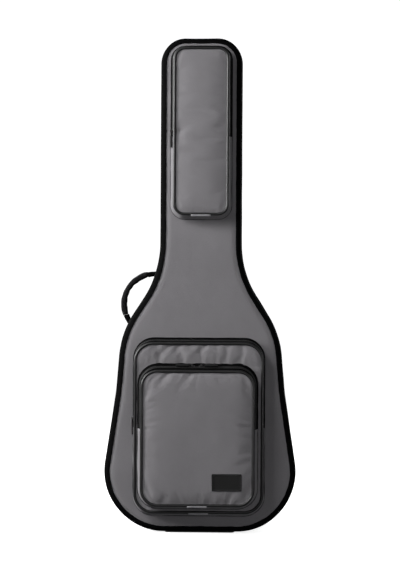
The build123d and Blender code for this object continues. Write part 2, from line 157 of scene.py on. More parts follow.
def gathered(rows, columns, inwards_by, outwards_by, length, seed):
    """Small gathers along a seam: the named columns of the rows wander in x and z, and in y."""
    middle = rows.reshape(-1, 3).mean(0)
    for i in range(len(rows)):
        for j in columns:
            p = Vector(rows[i, j])
            sway = noise.noise(Vector((p.x / length, seed + j * .25, p.z / length)))
            lift = noise.noise(Vector((p.x / length * 2.1, seed + 9 + j * .3, p.z / length * 2.1)))
            off = Vector((p.x - middle[0], 0, p.z - middle[2])).normalized()
            rows[i, j] += np.array(off * sway * inwards_by) + np.array((0, lift * outwards_by, 0))
    return rows


def woven(name, colour, thread=.0011, relief=.35, blotch=.12, roughness=.86, sheen=.25, worn=None, slub=.3,
          shine=.3):
    """Plain-weave cloth: two sets of threads, slubs, uneven dye and a paler bloom where it is rubbed."""
    finish = bpy.data.materials.new(name)
    finish.use_nodes = True
    nodes, links = finish.node_tree.nodes, finish.node_tree.links
    cloth = nodes["Principled BSDF"]
    cloth.inputs["Roughness"].default_value = roughness
    cloth.inputs["Sheen Weight"].default_value = sheen
    cloth.inputs["Sheen Roughness"].default_value = .45
    cloth.inputs["Specular IOR Level"].default_value = shine
    place = nodes.new("ShaderNodeTexCoord").outputs["Object"]

    def worked_out(kind, a, b, amount=None):
        node = nodes.new("ShaderNodeMath")
        node.operation = kind
        for socket, value in zip(node.inputs, (a, b) if amount is None else (a, b, amount)):
            if isinstance(value, (int, float)):
                socket.default_value = value
            else:
                links.new(value, socket)
        return node.outputs[0]

    def strands(direction):
        dot = nodes.new("ShaderNodeVectorMath")
        dot.operation = "DOT_PRODUCT"
        dot.inputs[1].default_value = Vector(direction) * (math.tau / thread)
        links.new(place, dot.inputs[0])
        return worked_out("SINE", dot.outputs["Value"], 0)

    def cloud(scale, detail=2):
        texture = nodes.new("ShaderNodeTexNoise")
        texture.inputs["Scale"].default_value = scale
        texture.inputs["Detail"].default_value = detail
        links.new(place, texture.inputs["Vector"])
        return texture.outputs["Fac"]

    weave = worked_out("MULTIPLY", strands((1, 1, .02)), strands((.02, .5, 1)))
    fibres = cloud(900, 1)
    dye = cloud(7, 4)
    shade = worked_out("MULTIPLY_ADD", weave, .16, .5)
    shade = worked_out("ADD", shade, worked_out("MULTIPLY", worked_out("SUBTRACT", fibres, .5), slub))
    shade = worked_out("ADD", shade, worked_out("MULTIPLY", worked_out("SUBTRACT", dye, .5), blotch * 6))
    ramp = nodes.new("ShaderNodeValToRGB")
    ramp.color_ramp.elements[0].color = (*[c * .72 for c in colour], 1)
    ramp.color_ramp.elements[1].color = (*[c * 1.28 for c in colour], 1)
    links.new(shade, ramp.inputs[0])
    tint = ramp.outputs[0]
    if worn:
        rub = nodes.new("ShaderNodeNewGeometry").outputs["Pointiness"]
        edge = nodes.new("ShaderNodeMapRange")
        edge.inputs["From Min"].default_value, edge.inputs["From Max"].default_value = .515, .6
        edge.inputs["To Max"].default_value = .5
        links.new(rub, edge.inputs["Value"])
        mix = nodes.new("ShaderNodeMix")
        mix.data_type = "RGBA"
        mix.inputs[7].default_value = (*worn, 1)
        links.new(edge.outputs["Result"], mix.inputs["Factor"])
        links.new(tint, mix.inputs[6])
        tint = mix.outputs[2]
    links.new(tint, cloth.inputs["Base Color"])
    bump = nodes.new("ShaderNodeBump")
    bump.inputs["Strength"].default_value = relief
    bump.inputs["Distance"].default_value = thread * .4
    links.new(worked_out("ADD", weave, worked_out("MULTIPLY", fibres, 1.2)), bump.inputs["Height"])
    links.new(bump.outputs["Normal"], cloth.inputs["Normal"])
    return finish


def finished(piece, finish, body, part, *nodes):
    """Gives a piece its finish and its body, and hides the CAD nodes that it stands for. part, the record's
    slot, is not used.
    """
    piece.data.materials.clear()
    piece.data.materials.append(finish)
    if nodes:
        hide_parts(*nodes)
    if body:
        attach(piece, body)
    return piece


def bend_of(centre, radius, first, last, parts):
    """Points on an arc, as (inset, y), by angles in degrees."""
    return [(centre[0] + radius * math.cos(math.radians(a)), centre[1] + radius * math.sin(math.radians(a)))
            for a in np.linspace(first, last, parts)]


black_cloth = woven("black_polyester", (.0018, .0018, .0019), thread=.0012, sheen=.001, roughness=.62,
                    worn=(.004, .004, .0043), shine=.02)
grey_cloth = woven("grey_polyester", (.160, .154, .162), thread=.0012, blotch=.07, sheen=.10,
                   worn=(.24, .235, .245), shine=.35, slub=.45)

section = [(seam_in + .0006, front_y + .004), (seam_in + .0003, front_y + .0012),
           (seam_in - .0008, front_y - .0006)]
section += bend_of((roll, front_y + roll - .0004), roll, 270, 180, 12)
section += [(-.0004, front_y + .018), (-.0006, front_y + .024), (-.0004, front_y + .030),
            (0, lid_end_y - .002), (.0005, lid_end_y - .0003)]
section += [(.0020, lid_end_y), (.0105, lid_end_y), (.0122, lid_end_y - .0015), (.0125, lid_end_y - .008),
            (.0125, front_y + .017)]
rows = gathered(edge_rows(section), range(1, 6), .0011, .0007, .016, 3)
lid_edge = skin("lid_edge", gathered(rows, range(6, 20), .0012, .0002, .06, 5))
finished(lid_edge, black_cloth, "lid", "black_fabric", "front_gusset_cover", "front_gusset_foam")

# ==== front panel ===============================================================================
# One piece of grey polyester over firm foam, laid flat and caught in the edge seam all round. It
# shows as a strip round the pockets and is slightly full beside the seam.


def panel_rows(inset, step=.006, columns=64):
    """A grid of (x, z) inside the outline, row by row from the base to the top."""
    x, z, heading = right_edge(step)
    x, z = x - np.sin(heading) * inset, z + np.cos(heading) * inset
    keep = [i for i in range(1, len(x) - 1) if .02 < heading[i] < math.pi - .02]
    across = np.linspace(-1, 1, columns + 1)
    across = across * (1.25 - .25 * across ** 2)
    return [[(xx * u, zz) for u in across] for xx, zz in zip(x[keep], z[keep])]


def from_edge(points, inset):
    """How far each (x, z) lies inside the inset outline."""
    here, inwards = whole_edge(.004)
    line = here + inwards * inset
    points = np.array(points).reshape(-1, 2)
    return np.array([np.sqrt(((line - p) ** 2).sum(1).min()) for p in points])


def plate(name, flat, outer, inner):
    """A closed plate over a grid of (x, z): outer and inner give y at each point."""
    flat = np.array(flat)
    n, m = flat.shape[:2]
    sides = [np.concatenate([flat[..., :1], np.array(y).reshape(n, m, 1), flat[..., 1:]], 2)
             for y in (outer, inner)]
    points = np.concatenate(sides).reshape(-1, 3)
    quads = [(i * m + j, i * m + j + 1, (i + 1) * m + j + 1, (i + 1) * m + j) for i in range(n - 1)
             for j in range(m - 1)]
    faces = quads + [tuple(n * m + k for k in reversed(q)) for q in quads]
    rim = [(0, j) for j in range(m)] + [(i, m - 1) for i in range(1, n)]
    rim += [(n - 1, j) for j in range(m - 2, -1, -1)] + [(i, 0) for i in range(n - 2, 0, -1)]
    rim = [i * m + j for i, j in rim]
    faces += [(a, n * m + a, n * m + b, b) for a, b in zip(rim, rim[1:] + rim[:1])]
    cut = [(points[k][0], points[k][2]) for f in faces for k in f]
    return stitched_up(name, points, faces, cut)


flat = panel_rows(seam_in - .0004)
depth = from_edge(flat, seam_in - .0004)
full = 1 - np.clip(1 - depth / .014, 0, 1) ** 2
wander = np.array([noise.noise(Vector((x * 14, 2.5, z * 14)))
                   + .4 * noise.noise(Vector((x * 45, 7.5, z * 45)))
                   for row in flat for x, z in row])
outer = front_y + .0012 - full * (.0022 + .0005 * wander)
front_panel = plate("front_panel", flat, outer, np.full(len(outer), front_y + .0152))
finished(front_panel, grey_cloth, "lid", "grey_fabric", "front_cover", "front_foam")

# ==== lid's zip half ============================================================================
# Woven tape sewn under the free edge of the wall, with one row of the coil along its edge. Coil
# and tape stop where the back of the bag is hinged, low on the left side.

spine_low, spine_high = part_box("spine_hinge")
zip_gap = (spine_low.z + .001, spine_high.z - .001)
zip_y = (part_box("front_zip_tape")[1].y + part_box("rear_zip_tape")[0].y) / 2
tape = [(.0004, lid_end_y - .003), (.0003, zip_y - .0034), (.0011, zip_y - .0032), (.0013, lid_end_y - .003)]
lid_tape = skin("lid_zip_tape", edge_rows(tape, gap=zip_gap), joined=False)
tape_cloth = woven("zip_tape", (.0034, .0034, .0036), thread=.0007, relief=.5, sheen=.01, roughness=.85,
                   shine=.06)
finished(lid_tape, tape_cloth, "lid", "zip_tape", "front_zip_tape")


def moulded(name, colour, roughness, grain=600, relief=.08, coat=0, worn=None):
    """Moulded nylon or rubber: fine grain, faint flow marks and paler corners."""
    finish = bpy.data.materials.new(name)
    finish.use_nodes = True
    nodes, links = finish.node_tree.nodes, finish.node_tree.links
    solid = nodes["Principled BSDF"]
    solid.inputs["Coat Weight"].default_value = coat
    place = nodes.new("ShaderNodeTexCoord").outputs["Object"]
    marks = []
    for scale in (25, grain):
        texture = nodes.new("ShaderNodeTexNoise")
        texture.inputs["Scale"].default_value = scale
        links.new(place, texture.inputs["Vector"])
        marks.append(texture.outputs["Fac"])
    ramp = nodes.new("ShaderNodeValToRGB")
    ramp.color_ramp.elements[0].position, ramp.color_ramp.elements[1].position = .25, .75
    ramp.color_ramp.elements[0].color = (*[c * .75 for c in colour], 1)
    ramp.color_ramp.elements[1].color = (*[c * 1.3 for c in colour], 1)
    links.new(marks[0], ramp.inputs[0])
    tint = ramp.outputs[0]
    if worn:
        edge = nodes.new("ShaderNodeMapRange")
        edge.inputs["From Min"].default_value, edge.inputs["From Max"].default_value = .52, .62
        links.new(nodes.new("ShaderNodeNewGeometry").outputs["Pointiness"], edge.inputs["Value"])
        mix = nodes.new("ShaderNodeMix")
        mix.data_type = "RGBA"
        mix.inputs[7].default_value = (*worn, 1)
        links.new(edge.outputs["Result"], mix.inputs["Factor"])
        links.new(tint, mix.inputs[6])
        tint = mix.outputs[2]
    links.new(tint, solid.inputs["Base Color"])
    dull = nodes.new("ShaderNodeMapRange")
    dull.inputs["To Min"].default_value, dull.inputs["To Max"].default_value = roughness - .08, roughness + .1
    links.new(marks[0], dull.inputs["Value"])
    links.new(dull.outputs["Result"], solid.inputs["Roughness"])
    bump = nodes.new("ShaderNodeBump")
    bump.inputs["Strength"].default_value = relief
    bump.inputs["Distance"].default_value = .0004
    links.new(marks[1], bump.inputs["Height"])
    links.new(bump.outputs["Normal"], solid.inputs["Normal"])
    return finish


def coil(rows, pinch=.45):
    """One row of zip coil: every other row of points is drawn in to its middle, so it reads as turns."""
    rows = np.array(rows)
    middle = rows[1::2].mean(1, keepdims=True)
    rows[1::2] = middle + (rows[1::2] - middle) * pinch
    return rows


coil_nylon = moulded("zip_coil", (.003, .003, .0032), .6)
turns = [(-.0003, zip_y - .0042), (-.0003, zip_y - .0013), (.0011, zip_y - .0013), (.0011, zip_y - .0042)]
turns = coil(edge_rows(turns, step=.0014, gap=zip_gap), .55)
lid_coil = skin("lid_zip_coil", turns, joined=False)
finished(lid_coil, coil_nylon, "lid", "zip_tape")

# ==== lining of the lid =========================================================================
# Brushed black nylon glued to the foam, over the inside of the panel and up the side wall.

lining_cloth = woven("brushed_lining", (.018, .018, .0195), thread=.0008, relief=.15, sheen=.6, roughness=.95,
                     blotch=.2)
lid_lining_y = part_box("front_lining")[0].y
flat = panel_rows(.0120, step=.01, columns=40)
depth = from_edge(flat, .0120)
soft = np.array([noise.noise(Vector((x * 9, 4.5, z * 9))) for row in flat for x, z in row])
inner = lid_lining_y + .0010 + .0008 * soft * np.clip(depth / .03, 0, 1)
lid_lining = plate("lid_lining", flat, inner - .0008, inner + .0004)
finished(lid_lining, lining_cloth, "lid", "lining", "front_lining")
wall = [(.0122, lid_lining_y - .0006), (.0122, lid_end_y - .0016), (.0130, lid_end_y - .0012),
        (.0138, lid_end_y - .002), (.0136, lid_lining_y + .004), (.0148, lid_lining_y + .0012),
        (.0170, lid_lining_y + .0010)]
lid_lining_wall = skin("lid_lining_wall", edge_rows(wall, step=.008))
finished(lid_lining_wall, lining_cloth, "lid", "lining")

# ==== front pockets =============================================================================
# Three padded pockets sewn to the front: one up the neck, a large one on the body and a small one
# on that. Each has a gusset with a zip round its upper part, piping in both seams, and a face that
# folds down on the line where the zip ends.


def pocket_line(half, low, high, radius, fold):
    """Half of a rounded outline from the middle of the base, with as many points whatever its size."""
    turn = np.radians(np.linspace(0, 90, 13))
    points = [(u * (half - radius), low) for u in np.linspace(0, 1, 19)[:-1]]
    points += [(half - radius + radius * math.sin(a), low + radius - radius * math.cos(a)) for a in turn]
    points += [(half, z) for z in np.linspace(low + radius, fold, 25)[1:-1]]
    first_above = len(points)
    points += [(half, z) for z in np.linspace(fold, high - radius, 31)[:-1]]
    points += [(half - radius + radius * math.cos(a), high - radius + radius * math.sin(a)) for a in turn]
    points += [(u * (half - radius), high) for u in np.linspace(1, 0, 19)[1:]]
    return np.array(points), first_above


def all_round(right):
    """The right half followed by its mirror image, so the point at the fold keeps its number."""
    return np.concatenate([right, right[-2:0:-1] * np.array([-1, 1])])


class Pocket:
    """The measurements of one pocket, and rows of points round its wall.

    half, low, high and radius are the base's outline, and side_in, base_in and top_in say how far
    the face's rim is drawn in from it. The upper part folds down at z = fold.
    """

    def __init__(self, name, middle, half, low, high, radius, side_in, base_in, top_in, face_radius, fold):
        self.name, self.middle, self.fold = name, middle, fold
        gusset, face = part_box(name + "_pocket_gusset"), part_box(name + "_pocket_lower_face")
        self.back_y, self.face_y = gusset[1].y, face[0].y
        self.half, self.low, self.high = half, low, high
        self.face = (half - side_in, low + base_in, high - top_in, face_radius)
        base, self.first_above = pocket_line(half, low, high, radius, fold)
        self.half_rim = pocket_line(*self.face, fold)[0]
        self.base, self.rim = (all_round(line) + np.array([middle, 0]) for line in (base, self.half_rim))

    def rows(self, section, part):
        """The section, as (share of the way from base to face, metres outwards), round part of the wall."""
        count, k = len(self.base), self.first_above
        chosen = {"below": list(range(count - k, count)) + list(range(k + 1)),
                  "above": list(range(k, count - k + 1))}[part]
        out = np.roll(self.rim, 1, 0) - np.roll(self.rim, -1, 0)
        out = np.stack([-out[:, 1], out[:, 0]], 1)
        out /= np.linalg.norm(out, axis=1, keepdims=True)
        rows = np.empty((len(chosen), len(section), 3))
        for i, c in enumerate(chosen):
            for j, (share, off) in enumerate(section):
                x, z = self.base[c] * (1 - share) + self.rim[c] * share + out[c] * off
                rows[i, j] = x, self.back_y + (self.face_y - self.back_y) * share, z
        return rows


head = Pocket("head", middle=0, half=.068, low=.696, high=1.081, radius=.032,
              side_in=.0095, base_in=.011, top_in=.0095, face_radius=.022, fold=.879)
large = Pocket("large", middle=-.0025, half=.146, low=.039, high=.434, radius=.046,
               side_in=.0062, base_in=.013, top_in=.0115, face_radius=.040, fold=.236)
small = Pocket("small", middle=-.0045, half=.132, low=.060, high=.379, radius=.046,
               side_in=.0105, base_in=.0115, top_in=.016, face_radius=.034, fold=.236)


def crumpled(rows, amount, length, seed):
    """Soft dents in a wall, in and out of it."""
    rows = np.array(rows)
    centre = rows.reshape(-1, 3).mean(0)
    for i in range(len(rows)):
        for j in range(len(rows[i])):
            p = Vector(rows[i, j])
            off = Vector((p.x - centre[0], 0, p.z - centre[2])).normalized()
            dent = noise.noise(Vector((p.x / length, seed + p.y / length, p.z / length)))
            rows[i, j] += np.array(off * dent * amount)
    return rows


def ribs(low, high, count, proud):
    """Fine raised lines along a strip, as a section."""
    return [(s, proud if k % 2 else 0) for k, s in enumerate(np.linspace(low, high, count * 2 + 1))]


zip_bodies = {"head": ("lid", "head_flap"), "large": ("lid", "large_flap"),
              "small": ("large_flap", "small_flap")}
band_rise = {"head": .0004, "large": .0006, "small": .0009}
half_coil_gap = .0012
doubled = .0018
for pocket in (head, large, small):
    under, flap = zip_bodies[pocket.name]
    deep = abs(pocket.face_y - pocket.back_y)
    clear = half_coil_gap / deep

    below = [(s, .0007 * math.sin(math.pi * s)) for s in np.linspace(0, 1, 9)]
    below += [(.98, -doubled), (.5, -doubled), (.02, -doubled)]
    gusset = skin(pocket.name + "_pocket_side", crumpled(pocket.rows(below, "below"), .0009, .03, 2),
                  joined=False)
    finished(gusset, grey_cloth, None, "grey_fabric", pocket.name + "_pocket_gusset")
    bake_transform(gusset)

    rear = ribs(.02, .5 - clear * 3.6, 5, band_rise[pocket.name])
    rear += [(.5 - clear * 2.5, 0), (.5 - clear * 2.5, -doubled), (.02, -doubled)]
    rear_band = skin(pocket.name + "_pocket_rear_band", crumpled(pocket.rows(rear, "above"), .0006, .03, 4),
                     joined=False)
    finished(rear_band, black_cloth, under, "black_fabric", pocket.name + "_pocket_zip_rear")
    front = [(.98, -doubled), (.5 + clear * 2.5, -doubled), (.5 + clear * 2.5, 0)]
    front += ribs(.5 + clear * 3.6, .99, 5, band_rise[pocket.name])
    front_band = skin(pocket.name + "_pocket_front_band",
                      crumpled(pocket.rows(front, "above"), .0006, .03, 6), joined=False)
    finished(front_band, black_cloth, flap, "black_fabric", pocket.name + "_pocket_zip_front")

    for side, body_name in ((-1, under), (1, flap)):
        near, far = .5 + side * clear * .35, .5 + side * clear * 2.6
        row = pocket.rows([(near, .0010), (far, .0010), (far, -.0004), (near, -.0004)], "above")
        fine = []
        for a, b in zip(row, row[1:]):
            parts = max(2, round(np.linalg.norm(b - a, axis=1).mean() / .0013))
            fine += [a + (b - a) * k / parts for k in range(parts)]
        teeth = skin(pocket.name + ("_zip_coil_rear" if side < 0 else "_zip_coil_front"), coil(fine),
                     joined=False)
        finished(teeth, coil_nylon, body_name, "zip_tape")

# ---- pocket faces --------------------------------------------------------------
# Grey polyester over thin foam, cut a little full and sewn in at the rim, so it swells between
# the seams and puckers where the seam draws it in. On the bag the lower part is fixed and the upper
# folds; here each face stays in place, and the small one is cut in two at the fold.


def fill_out(piece, sewn, pressure, fullness, most, stiffness=1.5, steps=20, held_back=1):
    """Cloth that is fixed at the sewn points and swells between them, by up to most times held_back."""
    start = np.array([v.co for v in piece.data.vertices])
    group = piece.vertex_groups.new(name="sewn")
    group.add([int(k) for k in sewn], 1, "REPLACE")
    cloth = piece.modifiers.new("filling", "CLOTH")
    cloth.point_cache.frame_start, cloth.point_cache.frame_end = 1, steps
    cloth.settings.quality = 6
    cloth.settings.mass = .2
    cloth.settings.bending_stiffness = stiffness
    cloth.settings.tension_stiffness = cloth.settings.compression_stiffness = 18
    cloth.settings.vertex_group_mass = "sewn"
    cloth.settings.use_pressure = True
    cloth.settings.uniform_pressure_force = pressure
    cloth.settings.shrink_min = -fullness
    cloth.settings.effector_weights.gravity = 0
    cloth.collision_settings.use_collision = False
    for step in range(1, steps + 1):
        bpy.context.scene.frame_set(step)
    swollen = piece.evaluated_get(bpy.context.evaluated_depsgraph_get()).data
    ends = np.array([v.co for v in swollen.vertices])
    piece.modifiers.remove(cloth)
    piece.vertex_groups.remove(group)
    moved = np.nan_to_num(ends - start)
    length = np.linalg.norm(moved, axis=1, keepdims=True)
    moved *= np.tanh(length / most) * most / np.maximum(length, 1e-9) * held_back
    piece.data.vertices.foreach_set("co", (start + moved).astype(np.float32).ravel())
    piece.data.update()
    bpy.context.scene.frame_set(1)


def creased(piece, folds):
    """Presses folds into a face: each is (x, z) to (x, z), its half-width, and how far it goes in."""
    points = np.array([v.co for v in piece.data.vertices])
    for (x0, z0), (x1, z1), width, press in folds:
        start, along = np.array((x0, z0)), np.array((x1 - x0, z1 - z0))
        off = points[:, (0, 2)] - start
        share = np.clip(off @ along / (along @ along), 0, 1)
        gap = np.linalg.norm(off - share[:, None] * along, axis=1)
        deep = press * np.exp(-(gap / width) ** 2)
        points[:, 1] += deep * (1 - .8 * share) * np.clip(share * 5 + .25, 0, 1)
    piece.data.vertices.foreach_set("co", points.astype(np.float32).ravel())
    piece.data.update()


def face_grid(pocket, columns):
    """Rows of (x, z) over a pocket's face, one of them exactly on the fold."""
    right = pocket.half_rim
    rows = [p for p in right if pocket.face[1] + .0002 < p[1] < pocket.face[2] - .0002]
    rows = [right[18]] + rows + [right[-19]]
    kept = [rows[0]]
    for p in rows[1:]:
        if p[1] - kept[-1][1] > .0016 or p is rows[-1]:
            kept.append(p)
    return [[(pocket.middle + x * u, z) for u in np.linspace(-1, 1, columns + 1)] for x, z in kept]


def pocket_face(pocket, columns, swell, pressure, fullness, held=None):
    """The swollen face of a pocket as one sheet. held says which points are sewn down as well as the rim."""
    grid = np.array(face_grid(pocket, columns))
    n, m = grid.shape[:2]
    flat = grid.reshape(-1, 2)
    line = pocket.rim
    inset = np.array([np.sqrt(((line - p) ** 2).sum(1).min()) for p in flat])
    crown = swell * (1 - np.clip(1 - inset / .03, 0, 1) ** 2)
    ripple = np.array([noise.noise(Vector((x * 32, 1.5, z * 32))) for x, z in flat])
    ripple = ripple * .0005 * np.clip(inset / .01, 0, 1)
    points = np.stack([flat[:, 0], pocket.face_y + .0003 - crown - ripple, flat[:, 1]], 1)
    quads = [(i * m + j, i * m + j + 1, (i + 1) * m + j + 1, (i + 1) * m + j) for i in range(n - 1)
             for j in range(m - 1)]
    piece = stitched_up(pocket.name + "_pocket_face", points, quads,
                        [(points[k][0], points[k][2]) for q in quads for k in q])
    if piece.data.polygons[len(quads) // 2].normal.y > 0:
        piece.data.flip_normals()
    rim = [k for k in range(n * m) if k % m in (0, m - 1) or k // m in (0, n - 1)]
    sewn = set(rim) | (set(np.nonzero(held(flat))[0]) if held else set())
    calm_edge = np.clip(inset[:, None] / .010, .1, 1)
    fill_out(piece, sorted(sewn), pressure, fullness, most=.0045, held_back=calm_edge)
    return piece


def backed(piece, thick):
    """Gives a face its foam: the same sheet again behind it, closed round the rim."""
    solid = piece.modifiers.new("foam", "SOLIDIFY")
    solid.thickness, solid.offset = thick, -1
    fine = piece.modifiers.new("fine", "SUBSURF")
    fine.levels = fine.render_levels = 1
    mesh = bpy.data.meshes.new_from_object(piece.evaluated_get(bpy.context.evaluated_depsgraph_get()))
    piece.modifiers.clear()
    piece.data = mesh
    return piece


def under_small(flat):
    """Which points of the large face lie under the small pocket, where it is sewn down."""
    between = np.abs(flat[:, 0] - small.middle) < small.half - .004
    return between & (flat[:, 1] > small.low + .004) & (flat[:, 1] < small.high - .004)


head_face = pocket_face(head, columns=30, swell=.0024, pressure=4, fullness=.005)
large_face = pocket_face(large, columns=60, swell=.0014, pressure=6, fullness=.014, held=under_small)
small_face = pocket_face(small, columns=54, swell=.0020, pressure=4, fullness=.008)
creased(head_face, [((-.0578, .884), (-.034, .894), .0055, .0044),
                    ((-.0555, .872), (-.036, .866), .007, .0014),
                    ((.052, .905), (.03, .895), .007, .0010)])
creased(large_face, [((x, .4215), (x + lean, .4215 - drop), width, press) for x, lean, drop, width, press in (
    (-.098, -.012, .022, .006, .0022), (-.062, -.038, .034, .0075, .0042), (-.040, -.026, .026, .0065, .0030),
    (-.020, -.020, .022, .006, .0018), (.013, -.024, .028, .0070, .0036), (.036, -.012, .020, .006, .0014),
    (.064, -.010, .016, .005, .0008))])
creased(small_face, [((x, z), (x + lean, z + rise), width, press) for x, z, lean, rise, width, press in (
    (-.067, .362, -.028, -.036, .0075, .0038), (-.016, .362, -.030, -.036, .0075, .0034),
    (.056, .362, -.014, -.024, .006, .0014),
    (-.083, .073, .010, .020, .006, .0026), (.058, .073, .016, .032, .0065, .0030),
    (-.120, .236, .014, .012, .006, .0010),
    (.112, .190, -.020, -.006, .008, .0014), (.02, .073, .004, .020, .006, .0012),
    (.080, .075, .016, .016, .005, .0016))])
face_foam = .0034
for face in (head_face, large_face, small_face):
    backed(face, face_foam)


def cut_at(piece, z, name, keep_above):
    """A copy of a piece with only what lies above or below z, shaded as if it were still whole."""
    uncut = list(piece.data.vertices)
    whole = KDTree(len(uncut))
    for k, v in enumerate(uncut):
        whole.insert(v.co, k)
    whole.balance()
    copy = bpy.data.objects.new(name, piece.data.copy())
    bpy.context.scene.collection.objects.link(copy)
    work = bmesh.new()
    work.from_mesh(copy.data)
    bmesh.ops.bisect_plane(work, geom=work.verts[:] + work.edges[:] + work.faces[:], plane_co=(0, 0, z),
                           plane_no=(0, 0, 1), clear_inner=keep_above, clear_outer=not keep_above)
    bmesh.ops.holes_fill(work, edges=[e for e in work.edges if e.is_boundary], sides=0)
    work.to_mesh(copy.data)
    work.free()
    normals = []
    for v in copy.data.vertices:
        near = whole.find_n(v.co, 3)
        total = sum((uncut[k].normal * (1 / (far + 1e-5)) for place, k, far in near), Vector())
        normals.append(total.normalized())
    copy.data.normals_split_custom_set_from_vertices(normals)
    return copy


finished(head_face, grey_cloth, None, "grey_fabric", "head_pocket_lower_face", "head_pocket_upper_face")
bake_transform(head_face)
finished(large_face, grey_cloth, None, "grey_fabric", "large_pocket_lower_face", "large_pocket_upper_face")
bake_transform(large_face)
small_lower = cut_at(small_face, small.fold, "small_pocket_face_lower", False)
small_upper = cut_at(small_face, small.fold, "small_pocket_face_upper", True)
bpy.data.objects.remove(small_face)
for piece, node in ((small_lower, "small_pocket_lower_face"), (small_upper, "small_pocket_upper_face")):
    finished(piece, grey_cloth, None, "grey_fabric", node)
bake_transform(small_lower)
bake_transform(small_upper)

# ---- piping --------------------------------------------------------------------
# Round cord in smooth black tape, sewn into the seam at the rim of each face, and a thin bound seam
# at its base. The ends of the piping meet under a short pale tab at the middle of the lower edge.

piping_tape = moulded("piping", (.0018, .0018, .002), .45, grain=450, relief=.2, coat=.06)
tab_cloth = woven("tab_ribbon", (.36, .35, .37), thread=.0007, sheen=.2, relief=.5)
piping_radius = .0034
seam_radius = .0009
tab_half = .0215


def piping(points, radius, wobble=.0004):
    """A cord round closed or open points, slightly uneven along its length."""
    points = np.array(points, float)
    along = np.roll(points, -1, 0) - np.roll(points, 1, 0)
    rows = []
    for p, t in zip(points, along):
        t = Vector(t).normalized()
        out = t.cross(Vector((0, 1, 0))).normalized()
        lump = noise.noise(Vector(p) * 40) * wobble
        rows.append([np.array(Vector(p) + (out * math.cos(a) + Vector((0, 1, 0)) * math.sin(a))
                              * (radius + lump))
                     for a in np.linspace(0, math.tau, 11)[:-1]])
    return rows


def finer(points, step=.0035):
    """The same closed line with its points a step apart."""
    points = np.concatenate([points, points[:1]])
    run = np.concatenate([[0], np.cumsum(np.linalg.norm(np.diff(points, axis=0), axis=1))])
    stops = np.linspace(0, run[-1], round(run[-1] / step) + 1)[:-1]
    return np.stack([np.interp(stops, run, points[:, k]) for k in range(points.shape[1])], 1)


for pocket in (head, large, small):
    rim = finer(pocket.rim)
    line = np.stack([rim[:, 0], np.full(len(rim), pocket.face_y + .0004), rim[:, 1]], 1)
    cord = skin(pocket.name + "_face_piping", piping(line, piping_radius))
    if pocket is small:
        lower = cut_at(cord, pocket.fold, "small_face_piping_lower", False)
        upper = cut_at(cord, pocket.fold, "small_face_piping_upper", True)
        bpy.data.objects.remove(cord)
        for piece, body, next_body, start, end in ((lower, "lid", "large_flap", -.025, 0),
                                                   (upper, "large_flap", "small_flap", 0, .025)):
            finished(piece, piping_tape, None, "black_fabric")
            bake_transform(piece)
    else:
        finished(cord, piping_tape, None, "black_fabric")
        start, end = (-.02, .02) if pocket is head else (-.025, 0)
        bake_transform(cord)

    base = finer(pocket.base)
    line = np.stack([base[:, 0], np.full(len(base), pocket.back_y - .0004), base[:, 1]], 1)
    cord = skin(pocket.name + "_base_seam", piping(line, seam_radius, .0002))
    if pocket is small:
        finished(cord, black_cloth, None, "black_fabric")
        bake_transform(cord)
    else:
        finished(cord, black_cloth, "lid", "black_fabric")

    middle, tab_y, tab_z = pocket.rim[0][0], pocket.face_y + .0004, pocket.rim[0][1] - .0008
    rows = []
    for x in np.linspace(-tab_half, tab_half, 13):
        bow = .0002 * math.cos(x / tab_half * 1.5)
        outside = [(middle + x, tab_y - (.0038 + bow) * math.cos(a), tab_z + (.0042 + bow) * math.sin(a))
                   for a in np.radians(np.linspace(-150, -12, 13))]
        inside = [(middle + x, tab_y - .0029 * math.cos(a), tab_z + .0033 * math.sin(a))
                  for a in np.radians(np.linspace(-12, -150, 9))]
        rows.append(outside + inside)
    tab = skin(pocket.name + "_piping_tab", rows, joined=False)
    finished(tab, tab_cloth, "lid", "grey_fabric")

# ---- name patch ----------------------------------------------------------------
# A blank moulded rubber label sewn low on the right of the small pocket: a flat field inside a
# raised border, with a row of stitches in the border. It follows the swell of the face.

patch_low, patch_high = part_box("name_patch")
patch_rubber = moulded("patch_rubber", (.0030, .0029, .0027), .95, grain=900, relief=.12,
                       worn=(.014, .014, .014))
face_shape = BVHTree.FromObject(small_lower, bpy.context.evaluated_depsgraph_get())


def surface_y(x, z, otherwise):
    """Where the face is at (x, z), from the front."""
    hit = face_shape.ray_cast(Vector((x, -1, z)), Vector((0, 1, 0)))[0]
    return otherwise if hit is None else hit.y


patch_centre = (patch_low + patch_high) / 2
half_w, half_h = (patch_high.x - patch_low.x) / 2, (patch_high.z - patch_low.z) / 2
spread = np.linspace(-1, 1, 9)
bed = np.array([[surface_y(patch_centre.x + u * half_w, patch_centre.z + v * half_h, patch_high.y)
                 for u in spread] for v in spread])
tilt_x, tilt_z = (bed[:, -1] - bed[:, 0]).mean() / 2, (bed[-1] - bed[0]).mean() / 2
bed_y = (bed - tilt_x * spread[None, :] - tilt_z * spread[:, None]).min() - .0001


def rounded(half_x, half_z, radius, parts=6):
    """A rounded rectangle about the origin."""
    return [(sx * (half_x - radius) + radius * math.cos(a), sz * (half_z - radius) + radius * math.sin(a))
            for sx, sz, first in ((1, 1, 0), (-1, 1, 90), (-1, -1, 180), (1, -1, 270))
            for a in np.radians(np.linspace(first, first + 90, parts))]


def on_face(ring, rise):
    """A ring of (x, z) about the patch's middle, laid on the plane that the face gives it."""
    return [(patch_centre.x + x, bed_y + rise + tilt_x * x / half_w + tilt_z * z / half_h, patch_centre.z + z)
            for x, z in ring]


